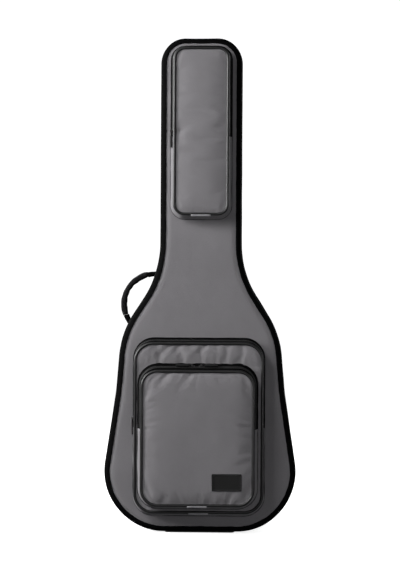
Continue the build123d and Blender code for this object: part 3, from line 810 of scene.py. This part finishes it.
border = [(0, .0006), (0, -.0004), (.0004, -.0009), (.0018, -.0010), (.0022, -.0007), (.0034, -.0007),
          (.0038, -.0005)]
rows = [on_face(rounded(half_w - inset, half_h - inset, max(.0026 - inset, .0006)), rise)
        for inset, rise in border]
patch = skin("name_patch_label", rows, joined=False)
finished(patch, patch_rubber, "lid", "patch", "name_patch")

thread_black = woven("thread", (.022, .022, .023), thread=.0005, relief=.6, sheen=.3, roughness=.7, slub=.1)


def stitches(name, line, out, long=.0024, gap=.0010, thick=.00032):
    """A row of sewn stitches along points, standing out of the cloth along out."""
    line = np.array(line, float)
    run = np.concatenate([[0], np.cumsum(np.linalg.norm(np.diff(line, axis=0), axis=1))])
    at = lambda d: np.array([np.interp(d, run, line[:, k]) for k in range(3)])
    out = np.array(Vector(out).normalized())
    points, faces = [], []
    for k in range(int(run[-1] / (long + gap))):
        a, b = at(k * (long + gap)), at(k * (long + gap) + long)
        way = (b - a) / max(np.linalg.norm(b - a), 1e-9)
        side = np.cross(way, out)
        first = len(points)
        for share, size, lift in ((0, .3, -.6), (.18, 1, .3), (.5, 1.1, .7), (.82, 1, .3), (1, .3, -.6)):
            for turn in np.linspace(0, math.tau, 7)[:-1]:
                off = (side * math.cos(turn) + out * math.sin(turn)) * thick * size
                points.append(a + (b - a) * share + off + out * lift * thick)
        for r in range(4):
            faces += [(first + r * 6 + c, first + r * 6 + (c + 1) % 6, first + r * 6 + 6 + (c + 1) % 6,
                       first + r * 6 + 6 + c) for c in range(6)]
        faces += [tuple(first + c for c in range(5, -1, -1)), tuple(first + 24 + c for c in range(6))]
    return stitched_up(name, points, faces, [(points[k][0], points[k][2]) for f in faces for k in f])


stitch_in = .0028
ring = rounded(half_w - stitch_in, half_h - stitch_in, .001)
patch_thread = stitches("name_patch_stitches", on_face(ring + ring[:1], -.0008), (0, -1, 0), thick=.00022)
finished(patch_thread, thread_black, "lid", "patch")

# ==== sliders and pulls =========================================================================
# Cast black sliders on the main zip, on the head and large pockets and a pair on the small one,
# each with a hinged pull overmoulded in soft rubber.

slider_metal = moulded("slider_metal", (.02, .02, .021), .32, grain=700, relief=.06, coat=.3,
                       worn=(.12, .12, .12))
slider_metal.node_tree.nodes["Principled BSDF"].inputs["Metallic"].default_value = .6
pull_rubber = moulded("pull_rubber", (.0045, .0045, .0048), .62, grain=800, relief=.15)
pull_rubber.node_tree.nodes["Principled BSDF"].inputs["Specular IOR Level"].default_value = .25
foot_rubber = moulded("foot_rubber", (.014, .014, .014), .75, grain=500, relief=.3, worn=(.06, .06, .058))
buckle_acetal = moulded("buckle_acetal", (.014, .014, .015), .38, grain=350, relief=.1, worn=(.06, .06, .06))


def dressed(finish, *nodes):
    """A CAD part that keeps its shape gets its real finish."""
    for node in nodes:
        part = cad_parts[node]
        part.data.materials.clear()
        part.data.materials.append(finish)
        part.data.polygons.foreach_set("material_index", [0] * len(part.data.polygons))


zips = ("main_left", "main_right", "head", "large", "small_left", "small_right")
dressed(slider_metal, *(zip_name + "_slider" for zip_name in zips))
dressed(pull_rubber, *(zip_name + "_pull" for zip_name in zips))

# ==== feet ======================================================================================
# Two moulded rubber rubbing strips under the base, one on each half of the bag.

dressed(foot_rubber, "rear_foot", "front_foot")

# ==== back half: side wall ======================================================================
# The deep part of the side wall, black polyester over foam. It is sewn to the back panel near the
# edge, and its free edge steps in under the zip to make a padded guard behind the coil.

back_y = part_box("back_cover")[1].y
rear_end_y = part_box("rear_gusset_cover")[0].y
guard_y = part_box("rear_gusset_foam")[0].y
section = [(seam_in + .0006, back_y - .004), (seam_in + .0003, back_y - .0012),
           (seam_in - .0008, back_y + .0006)]
section += bend_of((roll, back_y - roll + .0004), roll, 90, 180, 12)
section += [(-.0006, y) for y in np.linspace(back_y - .02, rear_end_y + .006, 9)]
section += [(0, rear_end_y + .001), (.0006, rear_end_y), (.0015, rear_end_y - .0006),
            (.0016, zip_y + .0055), (.0040, zip_y + .0045), (.0041, zip_y - .0055),
            (.0016, zip_y - .0065), (.0018, guard_y + .001), (.0032, guard_y), (.0110, guard_y),
            (.0123, guard_y + .0014), (.0125, guard_y + .01), (.0125, 0), (.0125, back_y - .017)]
rows = gathered(edge_rows(section), range(1, 6), .0011, .0007, .016, 13)
rows = gathered(rows, range(6, 24), .0018, .0002, .07, 15)
rear_edge = skin("rear_edge", rows)
finished(rear_edge, black_cloth, "back_half", "black_fabric", "rear_gusset_cover", "rear_gusset_foam")

# ==== back half: zip half =======================================================================
# The other tape and row of coil, sewn along the free edge of the deep wall.

tape = [(.0004, rear_end_y + .002), (.0003, zip_y + .0034), (.0011, zip_y + .0032),
        (.0013, rear_end_y + .002)]
rear_tape = skin("rear_zip_tape_strip", edge_rows(tape, gap=zip_gap), joined=False)
finished(rear_tape, tape_cloth, "back_half", "zip_tape", "rear_zip_tape")
turns = [(-.0003, zip_y + .0042), (-.0003, zip_y + .0013), (.0011, zip_y + .0013), (.0011, zip_y + .0042)]
turns = coil(edge_rows(turns, step=.0014, gap=zip_gap), .55)
rear_coil = skin("rear_zip_coil", turns, joined=False)
finished(rear_coil, coil_nylon, "back_half", "zip_tape")

# ==== back panel ================================================================================
# Grey polyester over foam like the front. On the bag it is quilted with two long rows of stitches
# so the foam can't shift against the player's back; these stitches are not drawn.

flat = panel_rows(seam_in - .0004)
depth = from_edge(flat, seam_in - .0004)
full = 1 - np.clip(1 - depth / .014, 0, 1) ** 2
wander = np.array([noise.noise(Vector((x * 12, 12.5, z * 12)))
                   + .4 * noise.noise(Vector((x * 40, 17.5, z * 40)))
                   for row in flat for x, z in row])
outer = back_y - .0012 + full * (.0010 + .0004 * wander)
back_panel = plate("back_panel", flat, outer, np.full(len(outer), back_y - .0152))
finished(back_panel, grey_cloth, "back_half", "grey_fabric", "back_cover", "back_foam")

# ==== lining of the back half ===================================================================
# The same brushed nylon over the back's foam, up the deep wall and over the guard.

back_lining_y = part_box("back_lining")[1].y
flat = panel_rows(.0120, step=.01, columns=40)
depth = from_edge(flat, .0120)
soft = np.array([noise.noise(Vector((x * 9, 24.5, z * 9))) for row in flat for x, z in row])
inner = back_lining_y - .0010 - .0008 * soft * np.clip(depth / .03, 0, 1)
back_lining = plate("back_lining_panel", flat, inner + .0008, inner - .0004)
finished(back_lining, lining_cloth, "back_half", "lining", "back_lining")
wall = [(.0122, back_lining_y + .0006), (.0122, guard_y + .0006), (.0130, guard_y + .0002),
        (.0138, guard_y + .0012), (.0140, 0), (.0136, back_lining_y - .004),
        (.0148, back_lining_y - .0012), (.0170, back_lining_y - .0010)]
back_lining_wall = skin("back_lining_wall", crumpled(edge_rows(wall, step=.008), .0006, .06, 31))
finished(back_lining_wall, lining_cloth, "back_half", "lining")

# ==== hinge at the left side ====================================================================
# A doubled strip of black polyester low on the left side, sewn to both walls where the zip stops,
# which lets the lid fold open like a book.

here, inwards = whole_edge(.005)
left = [k for k in range(len(here)) if here[k][0] < 0
        and spine_low.z - .004 < here[k][1] < spine_high.z + .004]
strip = [(-.0006, rear_end_y + .004), (-.0010, rear_end_y)]
strip += [(-.0010 - .0006 * math.sin(math.pi * s), rear_end_y + (lid_end_y - rear_end_y) * s)
          for s in np.linspace(.08, .92, 12)]
strip += [(-.0010, lid_end_y), (-.0006, lid_end_y - .004), (.0004, lid_end_y - .003), (.0006, -.028),
          (.0004, rear_end_y + .003)]
rows = [[(here[k][0] + inwards[k][0] * i, y, here[k][1] + inwards[k][1] * i) for i, y in strip] for k in left]
spine = skin("side_hinge", crumpled(rows, .0012, .02, 41), joined=False)
finished(spine, black_cloth, None, "black_fabric", "spine_hinge")
middle = here[left[len(left) // 2]]
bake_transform(spine)

# ==== inside pads ===============================================================================
# A foam neck cradle with a rounded groove and a foam block at the tail, both covered in the
# lining's brushed nylon. Their covers are swollen by the foam, as cloth filled from inside.


def stuffed(node, name, shrink, voxel, pressure, most, flat_at=None):
    """A soft copy of a CAD pad: drawn in a little, then filled as cloth. flat_at is a y it rests against."""
    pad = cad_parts[node].copy()
    pad.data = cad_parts[node].data.copy()
    pad.name, pad.parent = name, None
    for key in list(pad.keys()):
        del pad[key]
    bpy.context.scene.collection.objects.link(pad)
    even = pad.modifiers.new("even", "REMESH")
    even.mode, even.voxel_size = "VOXEL", voxel
    draw_in = pad.modifiers.new("draw_in", "DISPLACE")
    draw_in.strength, draw_in.mid_level = -shrink, 0
    soften = pad.modifiers.new("soften", "SMOOTH")
    soften.factor, soften.iterations = .5, 4
    mesh = bpy.data.meshes.new_from_object(pad.evaluated_get(bpy.context.evaluated_depsgraph_get()))
    pad.modifiers.clear()
    pad.data = mesh
    fill_out(pad, [], pressure, .01, most)
    fine = pad.modifiers.new("fine", "SUBSURF")
    fine.levels = fine.render_levels = 1
    mesh = bpy.data.meshes.new_from_object(pad.evaluated_get(bpy.context.evaluated_depsgraph_get()))
    pad.modifiers.clear()
    pad.data = mesh
    points = np.array([v.co for v in mesh.vertices])
    points += np.array([np.array(v.normal) * noise.noise(v.co * 30) * .0006 for v in mesh.vertices])
    if flat_at is not None:
        keep_side = np.maximum if points[:, 1].mean() > flat_at else np.minimum
        points[:, 1] = keep_side(points[:, 1], flat_at)
    mesh.vertices.foreach_set("co", points.astype(np.float32).ravel())
    mesh.polygons.foreach_set("use_smooth", [True] * len(mesh.polygons))
    mesh.update()
    return pad


cradle = stuffed("neck_cradle", "neck_cradle_pad", shrink=.0016, voxel=.005, pressure=4, most=.003)
finished(cradle, lining_cloth, "back_half", "lining", "neck_cradle")
tail = stuffed("tail_block", "tail_pad", shrink=.0016, voxel=.005, pressure=4, most=.003)
finished(tail, lining_cloth, "back_half", "lining", "tail_block")

# ---- neck strap ----------------------------------------------------------------
# A webbing strap that closes over the cradle's groove, sewn at one end, with a bar of stitches and
# a folded tip at the other. Only the strap itself is drawn here.

webbing_weave = woven("webbing", (.013, .013, .0135), thread=.0024, relief=.9, sheen=.2, roughness=.7,
                      worn=(.05, .05, .05))


def ribbon(points, across, width, thick):
    """A webbing strap along points: a flat section with soft, slightly thicker selvedges."""
    points = [Vector(p) for p in points]
    across = Vector(across).normalized()
    shape = [(-1, .55), (-.97, 1), (-.90, 1.06), (-.84, .9), (-.4, .95), (0, .92)]
    shape += [(-u, h) for u, h in reversed(shape[:-1])]
    rows = []
    for k, p in enumerate(points):
        along = (points[min(k + 1, len(points) - 1)] - points[max(k - 1, 0)]).normalized()
        up = along.cross(across).normalized()
        rows.append([p + across * (u * side * width / 2) + up * (h * side * thick / 2)
                     for side in (1, -1) for u, h in shape])
    return rows


neck_low, neck_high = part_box("neck_strap")
y = (neck_low.y + neck_high.y) / 2
line = [(x, y - .0012 * math.cos(x / neck_high.x * 1.4), (neck_low.z + neck_high.z) / 2)
        for x in np.linspace(neck_low.x, neck_high.x, 31)]
neck_strap = skin("neck_strap_webbing", ribbon(line, (0, 0, 1), neck_high.z - neck_low.z, .0022),
                  joined=False)
finished(neck_strap, webbing_weave, "neck_strap", "webbing", "neck_strap")

# ==== shoulder straps ===========================================================================
# A webbing-edged yoke is sewn across the back below the neck. Two tapered foam pads hang from it,
# each with a webbing tail through a ladder lock to a flat hook in a loop near the base.

yoke_low, yoke_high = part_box("strap_yoke")
mid = (yoke_low + yoke_high) / 2
half_x, half_z = (yoke_high.x - yoke_low.x) / 2, (yoke_high.z - yoke_low.z) / 2
rows = []
for inset, y in ((.0002, yoke_low.y - .001), (.0002, yoke_high.y - .0014), (.0012, yoke_high.y - .0002),
                 (.0028, yoke_high.y + .0004), (.0050, yoke_high.y - .0004), (.010, yoke_high.y + .0008),
                 (.018, yoke_high.y + .0013), (.027, yoke_high.y + .0015)):
    ring = rounded(half_x - inset, half_z - inset, max(.008 - inset, .001), 8)
    rows.append([(mid.x + x, y, mid.z + z) for x, z in ring])
yoke = skin("strap_yoke_patch", rows, joined=False)
finished(yoke, black_cloth, "back_half", "black_fabric", "strap_yoke")
box_x = [(sx * .036 + u * .018, yoke_high.y + .0012, mid.z + v * .018) for sx in (-1, 1)
         for u, v in ((-1, -1), (1, -1), (1, 1), (-1, 1), (-1, -1), (1, 1), (1, -1), (-1, 1))]
for side, run in (("left", box_x[:8]), ("right", box_x[8:])):
    finished(stitches("yoke_stitches_" + side, run, (0, 1, 0), thick=.0004), thread_black, "back_half",
             "webbing")
edge = rounded(half_x - .0050, half_z - .0050, .004, 8)
spots = [(mid.x + x, yoke_high.y - .0002, mid.z + z) for x, z in edge + edge[:1]]
finished(stitches("yoke_edge_stitches", spots, (0, 1, 0), thick=.0004), thread_black, "back_half",
         "webbing")

strap_mesh = woven("strap_mesh", (.016, .016, .017), thread=.0034, relief=1.0, sheen=.25, roughness=.85)
slope = math.radians(11)
strap_x = .036


def hanging(side):
    """Where a shoulder strap leaves the yoke, the way it hangs and the way across it."""
    hung = Vector((side * strap_x, back_y, yoke_low.z))
    down = Vector((side * math.sin(slope), 0, -math.cos(slope)))
    return hung, down, Vector((math.cos(slope), 0, side * math.sin(slope)))


for side, word in ((-1, "left"), (1, "right")):
    hung, down, over = hanging(side)
    on_strap = lambda a, b, c: hung + down * a + over * b + Vector((0, c, 0))
    pad = stuffed("strap_pad_" + word, "shoulder_pad_" + word, shrink=.0012, voxel=.004, pressure=4,
                  most=.0022, flat_at=back_y + .0006)
    finished(pad, strap_mesh, "strap_" + word, "black_fabric", "strap_pad_" + word)
    outline = [(.008, -.0285), (.312, -.0285)]
    outline += [(.312 + .0165 * math.sin(a), -.012 - .0165 * math.cos(a))
                for a in np.radians(np.linspace(10, 90, 8))]
    outline += [(a, -b) for a, b in reversed(outline)]
    spots = finer(np.array([on_strap(a, b, .0068) for a, b in outline]))
    binding = skin("pad_binding_" + word, piping(spots, .0022))
    finished(binding, black_cloth, "strap_" + word, "black_fabric")

    tail_line = [on_strap(a, 0, .0065) for a in np.linspace(.326, .4912, 60)]
    web = skin("strap_tail_" + word, ribbon(tail_line, over, .025, .0014), joined=False)
    finished(web, webbing_weave, "strap_" + word, "webbing", "strap_webbing_" + word)
    spots = [on_strap(.290 + u, v, .0118)
             for u, v in ((0, -.012), (.03, -.012), (.03, .012), (0, .012), (0, -.012), (.03, .012))]
    finished(stitches("pad_end_stitches_" + word, spots, (0, 1, 0), thick=.0004), thread_black,
             "strap_" + word, "webbing")
    dressed(buckle_acetal, "ladder_lock_" + word, "strap_hook_" + word)


def arched(half, bulge, tab, thick, parts=20):
    """A loop's line as (along, out): a tab, an arc over a gap, and a tab."""
    radius = (half * half + bulge * bulge) / (2 * bulge)
    reach = math.asin(half / radius)
    line = [(-half - tab * (1 - k / 4), thick / 2) for k in range(4)]
    line += [(radius * math.sin(a), radius * math.cos(a) - radius + bulge + thick / 4)
             for a in np.linspace(-reach, reach, parts)]
    return line + [(half + tab * k / 4, thick / 2) for k in range(1, 5)]


hang_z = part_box("webbing_loops")[1].z - .064
catch_z = .095
line = [(0, back_y + o, hang_z + a) for a, o in arched(.050, .022, .014, .0016)]
loops = [skin("hang_loop", ribbon(line, (1, 0, 0), .025, .0016), joined=False)]
for side, word in ((-1, "left"), (1, "right")):
    hung, down, over = hanging(side)
    centre = hung + down * ((yoke_low.z - catch_z) / math.cos(slope))
    line = [centre + over * a + Vector((0, o, 0)) for a, o in arched(.018, .0036, .014, .0016)]
    loops.append(skin("catch_loop_" + word, ribbon(line, down, .024, .0016), joined=False))
    for end in (-1, 1):
        spots = [centre + over * (end * (.0195 + u)) + down * v + Vector((0, .0018, 0))
                 for u, v in ((0, -.009), (.010, -.009), (.010, .009), (0, .009), (0, -.009), (.010, .009))]
        finished(stitches(f"catch_stitches_{word}_{'in' if end * side < 0 else 'out'}", spots, (0, 1, 0),
                          thick=.0003), thread_black, "back_half", "webbing")
for end in (-1, 1):
    spots = [(v, back_y + .0018, hang_z + end * (.0515 + u))
             for u, v in ((0, -.010), (.010, -.010), (.010, .010), (0, .010), (0, -.010), (.010, .010))]
    finished(stitches("hang_stitches_" + ("low" if end < 0 else "high"), spots, (0, 1, 0), thick=.0003),
             thread_black, "back_half", "webbing")
for piece in loops:
    finished(piece, webbing_weave, "back_half", "webbing", "webbing_loops")

# ==== side handle ===============================================================================
# An arch of webbing in a padded sleeve of black polyester on the left shoulder, creased where it
# bends, with its ends folded, boxed in stitches and sewn down under patches on the side wall.

handle_y = (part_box("handle_webbing")[0].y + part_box("handle_webbing")[1].y) / 2
low_end, high_end = Vector((-.16253, handle_y, .463)), Vector((-.10121, handle_y, .576))
chord = (high_end - low_end).normalized()
away = Vector((-chord.z, 0, chord.x))
half_chord, bulge = (high_end - low_end).length / 2, .040
arch_radius = (half_chord ** 2 + bulge ** 2) / (2 * bulge)
arch_centre = (low_end + high_end) / 2 + away * (bulge - arch_radius)


def outwards(reach):
    """The way out of the arch at a distance along its chord."""
    a = math.asin(reach / arch_radius)
    return chord * math.sin(a) + away * math.cos(a)


def on_arch(reach, off=0):
    """A point on the arch at a distance along its chord, and how far outside its middle line."""
    return arch_centre + outwards(reach) * (arch_radius + off)


line = [on_arch(r) for r in np.linspace(-.0500, .0500, 50)]
web = skin("handle_strap", ribbon(line, (0, 1, 0), .020, .003), joined=False)
finished(web, webbing_weave, "side_handle", "webbing", "handle_webbing")
sleeve_end, end_start = .0519, .0521
rows, around = [], np.linspace(0, math.tau, 25)[:-1]
for reach in np.linspace(-sleeve_end, sleeve_end, 58):
    middle, out = on_arch(reach), outwards(reach)
    end = 1 - max(0, abs(reach) - .048) / .0039 * .10
    pinch = 1 - .13 * math.exp(-(((reach / .0165 + .5) % 1 - .5) * 4.2) ** 2)
    ring = []
    for t in around:
        u = math.copysign(abs(math.cos(t)) ** .55, math.cos(t))
        v = math.copysign(abs(math.sin(t)) ** .7, math.sin(t))
        tight = pinch if v < 0 else 1 - (1 - pinch) * .35
        lump = noise.noise(middle * 60 + Vector((u, v, 0))) * .0005
        ring.append(middle + Vector((0, 1, 0)) * (u * .0146 * end)
                    + out * (.0012 + v * .0066 * end * tight + lump))
    rows.append(ring)
grip = skin("handle_sleeve", rows, joined=False)
count = len(grip.data.vertices)
ends = list(range(len(around))) + list(range(count - len(around), count))
fill_out(grip, ends, pressure=3, fullness=.02, most=.0012, stiffness=3)
sleeve_cloth = woven("handle_sleeve", (.006, .006, .0065), thread=.0012, relief=.5, sheen=.06,
                     worn=(.03, .03, .032), shine=.1)
finished(grip, sleeve_cloth, "side_handle", "grip_padding", "handle_grip")
for side, word in ((-1, "front"), (1, "back")):
    spots = [on_arch(r, .0075) + Vector((0, side * .0128, 0)) for r in np.linspace(-.045, .045, 40)]
    finished(stitches("sleeve_stitches_" + word, spots, away, thick=.0003), thread_black, "side_handle",
             "webbing")

here, inwards = whole_edge(.003)
anchors = []
for word, sign, from_z, to_z in (("low", -1, .4435, .4795), ("high", 1, .5625, .598)):
    rows = []
    for reach in np.linspace(end_start, half_chord + .004, 12):
        share = (reach - end_start) / (half_chord + .004 - end_start)
        middle, out = on_arch(reach * sign), outwards(reach * sign)
        wide, thick = .0128 - .001 * share, .0062 - .0012 * share
        rows.append([middle + Vector((0, 1, 0)) * (math.copysign(abs(math.cos(t)) ** .4, math.cos(t)) * wide)
                     + out * (math.copysign(abs(math.sin(t)) ** .5, math.sin(t)) * thick) for t in around])
    anchors.append(skin("handle_end_" + word, rows, joined=False))
    zone = [k for k in range(len(here)) if here[k][0] < 0 and from_z < here[k][1] < to_z]
    section = [(-.0004, -.0168), (-.0020, -.0160), (-.0026, -.010), (-.0027, 0), (-.0026, .010),
               (-.0020, .0160), (-.0004, .0168), (.0008, .015), (.0008, -.015)]
    rows = [[(here[k][0] + inwards[k][0] * i, handle_y + y, here[k][1] + inwards[k][1] * i)
             for i, y in section] for k in zone]
    anchors.append(skin("handle_patch_" + word, rows, joined=False))
    corners = [(zone[2], -.0135), (zone[2], .0135), (zone[-3], .0135), (zone[-3], -.0135), (zone[2], -.0135)]
    spots = []
    for (k0, y0), (k1, y1) in zip(corners, corners[1:]):
        for share in np.linspace(0, 1, 9)[:-1]:
            k = round(k0 + (k1 - k0) * share)
            spots.append((here[k][0] - inwards[k][0] * .0026, handle_y + y0 + (y1 - y0) * share,
                          here[k][1] - inwards[k][1] * .0026))
    finished(stitches("handle_patch_stitches_" + word, spots + spots[:1], away, thick=.0003), thread_black,
             "back_half", "webbing")
for piece in anchors:
    finished(piece, black_cloth, "back_half", "webbing", "handle_anchors")

# ==== floor, light and camera ===================================================================
# A plain white sweep under soft studio light from the upper left, and a level camera in front.

wall_y, sweep_radius = 4.8, 1.2
sweep_rows = [(y, 0) for y in (-4.5, -2, 0, wall_y - sweep_radius)]
sweep_rows += [(wall_y - sweep_radius + sweep_radius * math.sin(a), sweep_radius - sweep_radius * math.cos(a))
               for a in np.radians(np.linspace(5, 90, 14))]
sweep_rows += [(wall_y, 3), (wall_y, 6)]
sweep = skin("studio_sweep", [[(x, y, z - .0004) for y, z in sweep_rows] for x in (-6, 0, 6)], joined=False,
             tube=False)
paper = bpy.data.materials.new("studio_paper")
paper.use_nodes = True
paper_shader = paper.node_tree.nodes["Principled BSDF"]
paper_shader.inputs["Base Color"].default_value = (.9, .9, .9, 1)
paper_shader.inputs["Roughness"].default_value = .9
paper_shader.inputs["Emission Color"].default_value = (1, 1, 1, 1)
paper_shader.inputs["Emission Strength"].default_value = .85
sweep.data.materials.append(paper)
sweep.visible_diffuse = sweep.visible_glossy = False


def lamp(name, place, aim, size, power):
    """A rectangular soft box at place, turned towards aim."""
    light = bpy.data.lights.new(name, "AREA")
    light.shape, light.size, light.size_y, light.energy = "RECTANGLE", size[0], size[1], power
    holder = bpy.data.objects.new(name, light)
    holder.location = place
    holder.rotation_euler = (Vector(aim) - Vector(place)).to_track_quat("-Z", "Y").to_euler()
    bpy.context.scene.collection.objects.link(holder)


lamp("key", (-1.15, -1.4, 1.7), (0, 0, .75), (.7, .7), 26)
lamp("left_edge", (-2.15, -.6, 1.2), (0, 0, .65), (.6, 1.0), 92)
lamp("fill", (.8, -3.0, .6), (0, 0, .35), (1.8, 1.6), 13)
lamp("low_right", (1.5, -1.3, .12), (.1, -.1, .12), (.18, .18), 3)
lamp("back_left", (-1.4, 1.6, 1.6), (0, 0, .5), (1.0, 1.2), 26)
lamp("back_right", (1.6, 1.5, 1.2), (0, 0, .5), (.8, 1.2), 16)
world = bpy.data.worlds.new("studio")
bpy.context.scene.world = world
world.use_nodes = True
world.node_tree.nodes["Background"].inputs["Color"].default_value = (.95, .97, 1, 1)
world.node_tree.nodes["Background"].inputs["Strength"].default_value = .10
bpy.context.scene.view_settings.view_transform = "Standard"

lens = bpy.data.cameras.new("camera")
lens.lens, lens.sensor_width = 85.05, 36
camera = bpy.data.objects.new("camera", lens)
camera.location = (.055, -3.064, .551)
camera.rotation_euler = (math.pi / 2, -.0053, math.radians(1.085))
bpy.context.scene.collection.objects.link(camera)
bpy.context.scene.camera = camera
